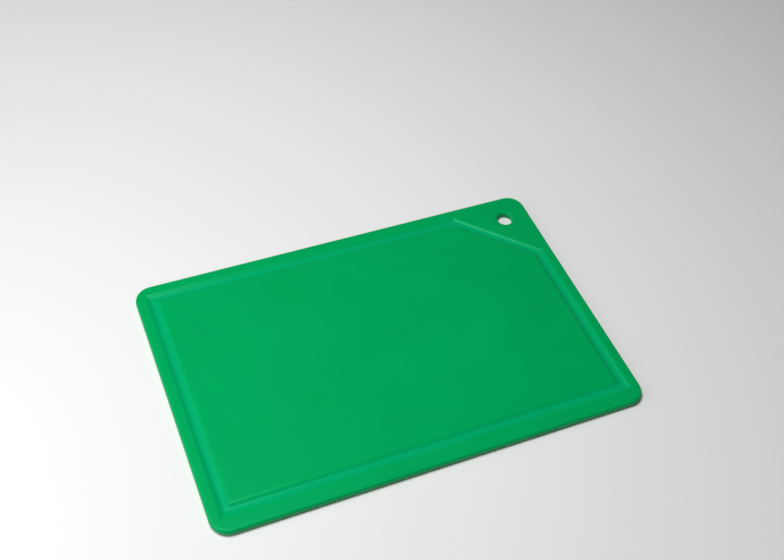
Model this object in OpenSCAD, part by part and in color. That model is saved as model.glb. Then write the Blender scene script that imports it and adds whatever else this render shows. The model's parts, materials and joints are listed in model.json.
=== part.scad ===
// Flat cutting board of solid polyethylene with a juice groove and a hanging hole.
// X runs along the long side, Y along the short side, and Z up out of the cutting surface.
// The origin is the middle of the underside. The hanging hole is in the +X, +Y corner.

/* [Board] */
// Length along X
board_l = 455; // [420:1:500]
// Width along Y
board_w = 305; // [280:1:330]
// Thickness
board_t = 8; // [7:0.5:15]
// Radius of the four corners, seen from above
corner_r = 18.5; // [12:0.5:24]
// Radius that rounds the top and bottom edges
edge_r = 3; // [1:0.25:3]

/* [Juice groove] */
// Flat rim between a short side and the groove
rim_side = 10.8; // [8:0.1:16]
// Flat rim between the back long side and the groove
rim_back = 12; // [8:0.1:18]
// Flat rim between the front long side and the groove
rim_front = 16; // [8:0.1:20]
// Width of the groove, lip to lip
groove_w = 12.6; // [11:0.1:14]
// Depth of the groove
groove_d = 2; // [1.5:0.1:3.5]
// Width that each sloping wall of the groove takes up
groove_wall = 4; // [2:0.1:5]
// Distance from the sharp +X, +Y corner to the diagonal groove's outer lip
diagonal_reach = 69.7; // [66:0.1:80]

/* [Hanging hole] */
// Diameter of the hole's straight wall
hole_d = 17; // [14:0.5:20]
// Distance from the +X side to the hole's centre
hole_from_side = 30.5; // [28:0.5:33]
// Distance from the +Y side to the hole's centre
hole_from_back = 31.5; // [28:0.5:33]
// Radius that rounds the rim of the hole, above and below
hole_rim_r = 2.5; // [1:0.25:3]

/* [Hidden] */
$fn = 96;
// How far a cutting shape runs past the surface that it cuts
past = 1;

half_l = board_l / 2;
half_w = board_w / 2;
side_run = board_l - 2 * corner_r;
end_run = board_w - 2 * corner_r;

// The lines that bound the groove's outer edge: where each side's lip lies
lip_left = rim_side - half_l;
lip_right = half_l - rim_side;
lip_back = half_w - rim_back;
lip_front = rim_front - half_w;

// Where the diagonal's lip would cut the two board edges that meet at its corner
diagonal_cut = diagonal_reach * sqrt(2);

// Section of the board's outer border. The board's edge is at x = corner_r.
module border_section() {
    square([corner_r - edge_r, board_t]);
    translate([0, edge_r]) square([corner_r, board_t - 2 * edge_r]);
    for (y = [edge_r, board_t - edge_r]) translate([corner_r - edge_r, y]) circle(edge_r);
}

// One straight border of the given length, with its edge towards +X
module straight_border(run) {
    rotate([90, 0, 0]) translate([0, 0, -run / 2]) linear_extrude(run) border_section();
}

// One rounded corner, with its edge towards +X and +Y
module round_corner() {
    rotate_extrude(angle = 90) border_section();
}

// The plain board, before the groove and the hole are cut
module slab() {
    translate([-side_run / 2, -end_run / 2, 0]) cube([side_run, end_run, board_t]);
    for (turn = [0, 180]) rotate(turn) {
        translate([side_run / 2, 0, 0]) straight_border(end_run);
        translate([0, end_run / 2, 0]) rotate(90) straight_border(side_run);
        translate([side_run / 2, end_run / 2, 0]) round_corner();
        translate([-side_run / 2, end_run / 2, 0]) rotate(90) round_corner();
    }
}

// The groove's path as seen from above, moved inwards from its outer lip by the distance given.
// The five corners keep every side parallel to itself, so all five stretches have one width.
function groove_path(inset) = let (
    left = lip_left + inset,
    right = lip_right - inset,
    back = lip_back - inset,
    front = lip_front + inset,
    reach = half_l + half_w - diagonal_cut - inset * sqrt(2)
) [[left, front], [right, front], [right, reach - right], [reach - back, back], [left, back]];

// All that lies on the inner side of one sloping wall. The wall meets the cutting surface along
// the path's side i, and lean is its angle from upright, positive where it faces inwards.
module inside_wall(path, i, lean) {
    run = path[(i + 1) % 5] - path[i];
    translate([path[i][0], path[i][1], board_t]) rotate(atan2(run[1], run[0])) rotate([lean, 0, 0])
        translate([-board_l, 0, -board_l]) cube(2 * board_l);
}

// All that lies inside the five walls of one path, from the groove's floor to above the surface
module inside_path(inset, lean) {
    path = groove_path(inset);
    intersection() {
        translate([-half_l, -half_w, board_t - groove_d]) cube([board_l, board_w, groove_d + past]);
        intersection_for(i = [0:4]) inside_wall(path, i, lean);
    }
}

// Cutter for the groove: a flat floor between two sloping walls, mitred at the five corners
module groove_cutter() {
    wall_lean = atan2(groove_wall, groove_d);
    difference() {
        inside_path(0, wall_lean);
        inside_path(groove_w, -wall_lean);
    }
}

// Cutter for the hanging hole: a straight bore whose two rims flare out in a quarter round
module hole_cutter() {
    bore_r = hole_d / 2;
    mouth_r = bore_r + hole_rim_r;
    rotate_extrude() difference() {
        translate([0, -past]) square([mouth_r, board_t + 2 * past]);
        translate([bore_r, hole_rim_r]) square([hole_rim_r, board_t - 2 * hole_rim_r]);
        for (z = [hole_rim_r, board_t - hole_rim_r]) translate([mouth_r, z]) circle(hole_rim_r);
    }
}

module board() {
    color("#00a55d") difference() {
        slab();
        groove_cutter();
        translate([half_l - hole_from_side, half_w - hole_from_back, 0]) hole_cutter();
    }
}

board();
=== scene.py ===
import json
import math

import bmesh
import bpy
from mathutils import Matrix, Vector
from mathutils.geometry import delaunay_2d_cdt


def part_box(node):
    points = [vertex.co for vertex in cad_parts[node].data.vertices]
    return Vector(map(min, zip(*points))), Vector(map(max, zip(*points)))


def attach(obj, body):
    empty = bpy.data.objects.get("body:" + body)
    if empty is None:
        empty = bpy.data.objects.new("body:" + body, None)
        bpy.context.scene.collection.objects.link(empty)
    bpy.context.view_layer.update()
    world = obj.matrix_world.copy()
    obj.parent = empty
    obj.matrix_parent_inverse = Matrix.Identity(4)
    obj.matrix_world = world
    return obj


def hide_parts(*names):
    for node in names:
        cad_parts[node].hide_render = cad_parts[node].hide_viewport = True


# A green polyethylene cutting board with a juice groove and a hanging hole. X runs along the long
# side, Y along the short side and Z up. The underside lies on the floor, at Z = 0.

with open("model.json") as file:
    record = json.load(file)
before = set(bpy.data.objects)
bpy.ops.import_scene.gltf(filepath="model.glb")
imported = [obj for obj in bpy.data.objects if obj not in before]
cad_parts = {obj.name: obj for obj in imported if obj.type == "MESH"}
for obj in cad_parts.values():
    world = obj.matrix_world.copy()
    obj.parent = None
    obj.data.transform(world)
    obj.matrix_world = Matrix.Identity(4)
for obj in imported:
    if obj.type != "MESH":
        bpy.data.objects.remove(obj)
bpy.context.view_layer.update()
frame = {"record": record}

MM = 0.001

# Sizes of the board, the same as the CAD solid's
CORNER_R = 18.5 * MM
EDGE_R = 3 * MM
RIM_SIDE = 10.8 * MM
RIM_BACK = 12 * MM
RIM_FRONT = 16 * MM
GROOVE_W = 12.6 * MM
GROOVE_D = 2 * MM
GROOVE_WALL = 4 * MM
DIAGONAL_REACH = 69.7 * MM
HOLE_RIM_R = 2.5 * MM

# Radii that the moulded board has, and the CAD solid leaves out: where the groove's walls meet
# the cutting surface, where they meet its floor, and at its turns as seen from above
LIP_R = 8 * MM
FLOOR_R = 9 * MM
MITRE_R = 0.9 * MM

# How finely the mesh follows each kind of arc
EDGE_STEPS = 10
FILLET_STEPS = 8
CORNER_STEPS = 20
MITRE_STEPS = 5
HOLE_STEPS = 96

# Distances between points along a straight side, across a flat area, and from that area's outline
SPACING = 6 * MM
FILL_SPACING = 8 * MM
CLEARANCE = 0.6 * SPACING
# Points closer than this are one point, and triangles thinner than this are left out
SAME_POINT = 1e-7
SLIVER = 0.001 * MM

_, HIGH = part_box("board")
HALF_L = HIGH.x
HALF_W = HIGH.y
THICK = HIGH.z
FLOOR_Z = THICK - GROOVE_D
HOLE = next(m for m in frame["record"]["mounts"] if m["name"] == "hang_hole")
HOLE_X, HOLE_Y = HOLE["pos_m"][:2]
BORE_R = HOLE["dims"]["r_mm"] * MM


# ---------------------------------------------------------------- rounded corners and sections

def left_of(v):
    return Vector((-v.y, v.x))


def rounded_corner(before, corner, after, radius, steps):
    """Rounds one corner of a line in the plane.

    Returns 1 where the line turns left and -1 where it turns right, and the arc's (point, normal)
    pairs. Each normal points to the left of the walk."""
    way_in = (corner - before).normalized()
    way_out = (after - corner).normalized()
    turn = math.atan2(way_in.x * way_out.y - way_in.y * way_out.x, way_in.dot(way_out))
    side = math.copysign(1, turn)
    start = corner - way_in * radius * math.tan(abs(turn) / 2)
    centre = start + left_of(way_in) * radius * side
    normals = [Matrix.Rotation(turn * k / steps, 2) @ left_of(way_in) for k in range(steps + 1)]
    return side, [(centre - normal * radius * side, normal) for normal in normals]


def rounded_section(corners, radii, steps):
    """Rounds the inner corners of an open line drawn in (inset, height).

    Returns samples (point, normal, wear and highlight) from the first arc's start to the last arc's
    end. The normal points out of the solid. The wear and highlight value is 1 in the middle of an
    arc that bulges out, and 0 at its ends and on hollow arcs; it marks where the edges are polished
    and carry a painted highlight."""
    samples = []
    corners = [Vector(c) for c in corners]
    for before, corner, after, radius in zip(corners, corners[1:], corners[2:], radii):
        side, arc = rounded_corner(before, corner, after, radius, steps)
        for k, (point, normal) in enumerate(arc):
            # Where the edges are polished and a highlight is painted on them
            wear = math.sin(math.pi * k / steps) if side < 0 else 0.0
            samples.append((point, normal, wear))
    return samples


# Far enough past the arcs at the ends of a section, which stop short of it
FAR = 1.0
border_section = rounded_section(
    [(FAR, 0), (0, 0), (0, THICK), (FAR, THICK)], [EDGE_R] * 2, EDGE_STEPS)
hole_section = rounded_section(
    [(FAR, 0), (BORE_R, 0), (BORE_R, THICK), (FAR, THICK)], [HOLE_RIM_R] * 2, EDGE_STEPS)
groove_section = rounded_section(
    [(-FAR, THICK), (0, THICK), (GROOVE_WALL, FLOOR_Z),
     (GROOVE_W - GROOVE_WALL, FLOOR_Z), (GROOVE_W, THICK), (FAR, THICK)],
    [LIP_R, FLOOR_R, FLOOR_R, LIP_R], FILLET_STEPS)


# ---------------------------------------------------------------- loops seen from above

def filleted_loop(corners, radius, steps, spans):
    """A closed loop through the corners, anticlockwise, each one rounded to the same radius.

    Returns (point, inward direction) pairs. spans says how many pieces each straight has."""
    neighbours = zip(corners[-1:] + corners, corners, corners[1:] + corners[:1])
    arcs = [rounded_corner(*three, radius, steps)[1] for three in neighbours]
    loop = []
    for arc, next_arc, span in zip(arcs, arcs[1:] + arcs[:1], spans):
        tail, inward = arc[-1]
        head = next_arc[0][0]
        loop += arc
        loop += [(tail.lerp(head, k / span), inward) for k in range(1, span)]
    return loop


def pieces_along(corners):
    """How many pieces of about SPACING each side of the loop is cut into."""
    ends = corners[1:] + corners[:1]
    return [max(1, round((b - a).length / SPACING)) for a, b in zip(corners, ends)]


def border_corners(inset):
    x, y = HALF_L - inset, HALF_W - inset
    return [Vector(p) for p in ((-x, -y), (x, -y), (x, y), (-x, y))]


def groove_corners(inset):
    left = RIM_SIDE - HALF_L + inset
    right = HALF_L - RIM_SIDE - inset
    back = HALF_W - RIM_BACK - inset
    front = RIM_FRONT - HALF_W + inset
    # The diagonal is the line x + y = reach
    reach = HALF_L + HALF_W - (DIAGONAL_REACH + inset) * math.sqrt(2)
    return [Vector(p) for p in ((left, front), (right, front), (right, reach - right),
                                (reach - back, back), (left, back))]


BORDER_SPANS = pieces_along(border_corners(CORNER_R))
GROOVE_SPANS = pieces_along(groove_corners(0))


def border_loop(inset):
    return filleted_loop(border_corners(inset), CORNER_R - inset, CORNER_STEPS, BORDER_SPANS)


def groove_loop(inset):
    return filleted_loop(groove_corners(inset), MITRE_R, MITRE_STEPS, GROOVE_SPANS)


def hole_loop(radius):
    """Clockwise, because the solid lies outside this loop."""
    loop = []
    for k in range(HOLE_STEPS):
        angle = -math.tau * k / HOLE_STEPS
        away = Vector((math.cos(angle), math.sin(angle)))
        loop.append((Vector((HOLE_X, HOLE_Y)) + away * radius, away))
    return loop


# ---------------------------------------------------------------- flat areas

def inside(shape, p):
    crossings = 0
    for a, b in zip(shape, shape[1:] + shape[:1]):
        if (a.y > p.y) != (b.y > p.y) and p.x < a.x + (p.y - a.y) * (b.x - a.x) / (b.y - a.y):
            crossings += 1
    return crossings % 2 == 1


def covers(shapes, p):
    """Whether p is inside the first shape and outside all the others."""
    return inside(shapes[0], p) and not any(inside(s, p) for s in shapes[1:])


def grid_within(shapes):
    """Evenly spread points that the shapes cover, clear of every outline."""
    outlines = sum(shapes, [])
    lows = [min(p[k] for p in shapes[0]) for k in (0, 1)]
    highs = [max(p[k] for p in shapes[0]) for k in (0, 1)]
    columns, rows = (math.ceil((b - a) / FILL_SPACING) for a, b in zip(lows, highs))
    grid = []
    for i in range(1, columns):
        for j in range(1, rows):
            p = Vector((lows[0] + (highs[0] - lows[0]) * i / columns,
                        lows[1] + (highs[1] - lows[1]) * j / rows))
            if min((p - q).length for q in outlines) > CLEARANCE and covers(shapes, p):
                grid.append(p)
    return grid


# ---------------------------------------------------------------- the board's mesh

class Skin:
    """Collects the points, exact normals and faces of one closed surface.

    Each point also has its wear and painted edge highlight, and how deep it lies in the groove,
    which also sets the groove's painted sheen, both from 0 to 1."""

    def __init__(self):
        self.points, self.normals, self.wear, self.groove, self.faces = [], [], [], [], []

    def add(self, point, normal, wear=0.0, groove=0.0):
        self.points.append(point)
        self.normals.append(normal)
        self.wear.append(wear)
        self.groove.append(groove)
        return len(self.points) - 1

    def sweep(self, section, loop_at, in_groove=False):
        """Carries a section around a loop. Returns the first and last rings of point numbers."""
        rings = []
        for place, normal, wear in section:
            sunk = (THICK - place.y) / GROOVE_D if in_groove else 0.0
            rings.append([
                self.add(Vector((p.x, p.y, place.y)),
                         Vector((inward.x * normal.x, inward.y * normal.x, normal.y)), wear, sunk)
                for p, inward in loop_at(place.x)])
        for a, b in zip(rings, rings[1:]):
            for i in range(len(a)):
                j = (i + 1) % len(a)
                self.faces.append((a[i], a[j], b[j], b[i]))
        return rings[0], rings[-1]

    def fill(self, outline, holes, height, up):
        """Fills the flat area inside the outline and outside the holes."""
        owner, shapes, edges = [], [], []
        for ring in [outline] + holes:
            first, count = len(owner), len(ring)
            owner += ring
            shapes.append([self.points[i].to_2d() for i in ring])
            edges += [(first + k, first + (k + 1) % count) for k in range(count)]
        grid = grid_within(shapes)
        normal = Vector((0, 0, 1 if up else -1))
        owner += [self.add(Vector((p.x, p.y, height)), normal) for p in grid]
        flat = sum(shapes, []) + grid
        _, _, triangles, sources, _, _ = delaunay_2d_cdt(flat, edges, [], 0, SAME_POINT)
        for triangle in triangles:
            face = [owner[sources[k][0]] for k in triangle]
            a, b, c = (self.points[k].to_2d() for k in face)
            area = (b - a).cross(c - a) / 2
            breadth = 2 * abs(area) / max((b - a).length, (c - b).length, (a - c).length)
            # Slivers are what the straight sides give on their outside
            if breadth > SLIVER and covers(shapes, (a + b + c) / 3):
                self.faces.append(tuple(face if (area > 0) == up else reversed(face)))


def make_board():
    skin = Skin()
    under_edge, top_edge = skin.sweep(border_section, border_loop)
    under_hole, top_hole = skin.sweep(hole_section, hole_loop)
    outer_lip, inner_lip = skin.sweep(groove_section, groove_loop, in_groove=True)
    skin.fill(under_edge, [under_hole], 0.0, up=False)
    skin.fill(top_edge, [outer_lip, top_hole], THICK, up=True)
    skin.fill(inner_lip, [], THICK, up=True)

    mesh = bpy.data.meshes.new("board_skin")
    mesh.from_pydata(skin.points, [], skin.faces)
    mesh.validate()
    for name, values in (("wear", skin.wear), ("groove", skin.groove)):
        mesh.attributes.new(name, "FLOAT", "POINT").data.foreach_set("value", values)
    mesh.shade_smooth()
    mesh.normals_split_custom_set_from_vertices(skin.normals)
    piece = bpy.data.objects.new("board_body", mesh)
    bpy.context.scene.collection.objects.link(piece)
    return piece


# ---------------------------------------------------------------- materials

class Nodes:
    """Short calls for building a node tree."""

    def __init__(self, name):
        self.material = bpy.data.materials.new(name)
        self.material.use_nodes = True
        self.tree = self.material.node_tree
        self.shader = self.tree.nodes["Principled BSDF"]
        self.place = self.tree.nodes.new("ShaderNodeTexCoord").outputs["Object"]

    def link(self, source, target):
        if isinstance(source, bpy.types.NodeSocket):
            self.tree.links.new(source, target)
        else:
            target.default_value = source

    def math(self, operation, *values):
        node = self.tree.nodes.new("ShaderNodeMath")
        node.operation = operation
        for value, socket in zip(values, node.inputs):
            self.link(value, socket)
        return node.outputs[0]

    def times(self, a, b):
        return self.math("MULTIPLY", a, b)

    def noise(self, scale, detail=2.0, roughness=0.5):
        """Noise with about that many features per metre."""
        node = self.tree.nodes.new("ShaderNodeTexNoise")
        self.link(self.place, node.inputs["Vector"])
        self.link(scale, node.inputs["Scale"])
        self.link(detail, node.inputs["Detail"])
        self.link(roughness, node.inputs["Roughness"])
        return node.outputs["Fac"]

    def attribute(self, name):
        node = self.tree.nodes.new("ShaderNodeAttribute")
        node.attribute_name = name
        return node.outputs["Fac"]

    def mix(self, share, a, b):
        node = self.tree.nodes.new("ShaderNodeMix")
        node.data_type = "RGBA"
        self.link(share, node.inputs["Factor"])
        colours = [s for s in node.inputs if s.type == "RGBA"]
        self.link(a, colours[0])
        self.link(b, colours[1])
        return next(s for s in node.outputs if s.type == "RGBA")

    def bump(self, height, distance, normal=None):
        node = self.tree.nodes.new("ShaderNodeBump")
        self.link(height, node.inputs["Height"])
        self.link(distance, node.inputs["Distance"])
        if normal:
            self.link(normal, node.inputs["Normal"])
        return node.outputs[0]


def board_material():
    """Solid green plastic with a fine moulded pebble and cloudy colour, rounded edges that are
    polished and lighter (partly rubbed wear, partly a painted highlight), and a painted sheen in
    the groove.
    """
    n = Nodes("green_polyethylene")
    clouds = n.noise(14.0, detail=3.0)
    pebble = n.noise(520.0, detail=3.0, roughness=0.6)
    grain = n.noise(1400.0)
    wear = n.attribute("wear")
    groove = n.attribute("groove")

    green = (0.0, 0.395, 0.104, 1)
    deep_green = (0.0, 0.335, 0.086, 1)
    # A lighter, bluer colour deep in the groove: a painted sheen that stands in for the glossy
    # reflection on the groove's floor
    groove_painted_sheen_green = (0.0, 0.4, 0.15, 1)
    # A lighter colour on the rounded edges: partly rubbed wear, partly a painted highlight along
    # the edges
    worn_and_highlight_green = (0.0, 0.43, 0.15, 1)
    most_painted_groove_sheen = 0.8
    most_worn_and_highlight = 0.4
    mottled = n.mix(clouds, deep_green, green)
    # sunk is the mottled colour with the painted groove sheen mixed in
    sunk = n.mix(n.times(groove, most_painted_groove_sheen), mottled, groove_painted_sheen_green)
    rubbed_and_highlit = n.mix(n.times(n.times(wear, grain), most_worn_and_highlight), sunk, worn_and_highlight_green)
    n.link(rubbed_and_highlit, n.shader.inputs["Base Color"])

    smooth_roughness = 0.28
    pebble_roughness = 0.12
    wear_polish = 0.1
    groove_polish = 0.04
    rough = n.math("ADD", smooth_roughness, n.times(pebble, pebble_roughness))
    rough = n.math("SUBTRACT", rough, n.times(wear, wear_polish))
    rough = n.math("SUBTRACT", rough, n.times(groove, groove_polish))
    n.link(rough, n.shader.inputs["Roughness"])
    n.shader.inputs["Specular IOR Level"].default_value = 0.15
    n.shader.inputs["Specular Tint"].default_value = (0.1, 1.0, 0.7, 1)
    n.shader.inputs["Coat Weight"].default_value = 0.04
    n.shader.inputs["Coat Roughness"].default_value = 0.18

    pebble_height = 0.13 * MM
    grain_height = 0.06 * MM
    coarse = n.bump(pebble, pebble_height)
    n.link(n.bump(grain, grain_height, normal=coarse), n.shader.inputs["Normal"])
    return n.material


def floor_material():
    n = Nodes("pale_floor")
    grey = (0.82, 0.82, 0.82, 1)
    pale_grey = (0.84, 0.84, 0.84, 1)
    n.link(n.mix(n.noise(3.0), grey, pale_grey), n.shader.inputs["Base Color"])
    n.shader.inputs["Roughness"].default_value = 0.9
    n.shader.inputs["Specular IOR Level"].default_value = 0.1
    return n.material


# ---------------------------------------------------------------- stage, light and camera

def make_floor():
    side = 6.0
    mesh = bpy.data.meshes.new("floor")
    shape = bmesh.new()
    bmesh.ops.create_grid(shape, x_segments=1, y_segments=1, size=side / 2)
    shape.to_mesh(mesh)
    shape.free()
    floor = bpy.data.objects.new("floor", mesh)
    floor.data.materials.append(floor_material())
    bpy.context.scene.collection.objects.link(floor)


def softbox(name, place, width, height, watts):
    """A rectangular lamp that faces the middle of the board."""
    lamp = bpy.data.lights.new(name, "AREA")
    lamp.shape = "RECTANGLE"
    lamp.size = width
    lamp.size_y = height
    lamp.energy = watts
    thing = bpy.data.objects.new(name, lamp)
    thing.location = place
    thing.rotation_euler = (-thing.location).to_track_quat("-Z", "Y").to_euler()
    bpy.context.scene.collection.objects.link(thing)


def make_light():
    """A large softbox above and to the left, and two weak ones on the left, in a dim white room."""
    world = bpy.data.worlds.new("studio")
    world.use_nodes = True
    room = world.node_tree.nodes["Background"]
    room.inputs["Color"].default_value = (1, 1, 1, 1)
    room.inputs["Strength"].default_value = 0.09
    bpy.context.scene.world = world
    softbox("top_softbox", (-0.4, 0.12, 1.55), width=0.7, height=0.7, watts=22)
    softbox("back_softbox", (-1.2, 0.7, 0.8), width=0.7, height=0.7, watts=1.8)
    softbox("left_softbox", (-0.7, -0.15, 0.36), width=0.5, height=0.35, watts=1.1)


def make_camera():
    """Looks down on the board from its front left, from a little over a metre away."""
    heading = math.radians(26.81)
    drop = math.radians(49.41)
    roll = math.radians(6.08)
    distance = 1230.2 * MM
    target = Vector((41.8 * MM, 83.0 * MM, 0))
    forward = Vector((math.sin(heading) * math.cos(drop), math.cos(heading) * math.cos(drop),
                      -math.sin(drop)))
    level = forward.cross(Vector((0, 0, 1))).normalized()
    upright = level.cross(forward)
    right = level * math.cos(roll) + upright * math.sin(roll)
    up = right.cross(forward)
    turn = Matrix((right, up, -forward)).transposed().to_4x4()
    lens = bpy.data.cameras.new("camera")
    lens.sensor_width = 36
    lens.lens = 51.64
    camera = bpy.data.objects.new("camera", lens)
    camera.matrix_world = Matrix.Translation(target - forward * distance) @ turn
    bpy.context.scene.collection.objects.link(camera)
    bpy.context.scene.camera = camera


bpy.context.scene.view_settings.view_transform = "Standard"
make_camera()
make_light()
make_floor()

board = make_board()
board.data.materials.append(board_material())
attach(board, "root")
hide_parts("board")
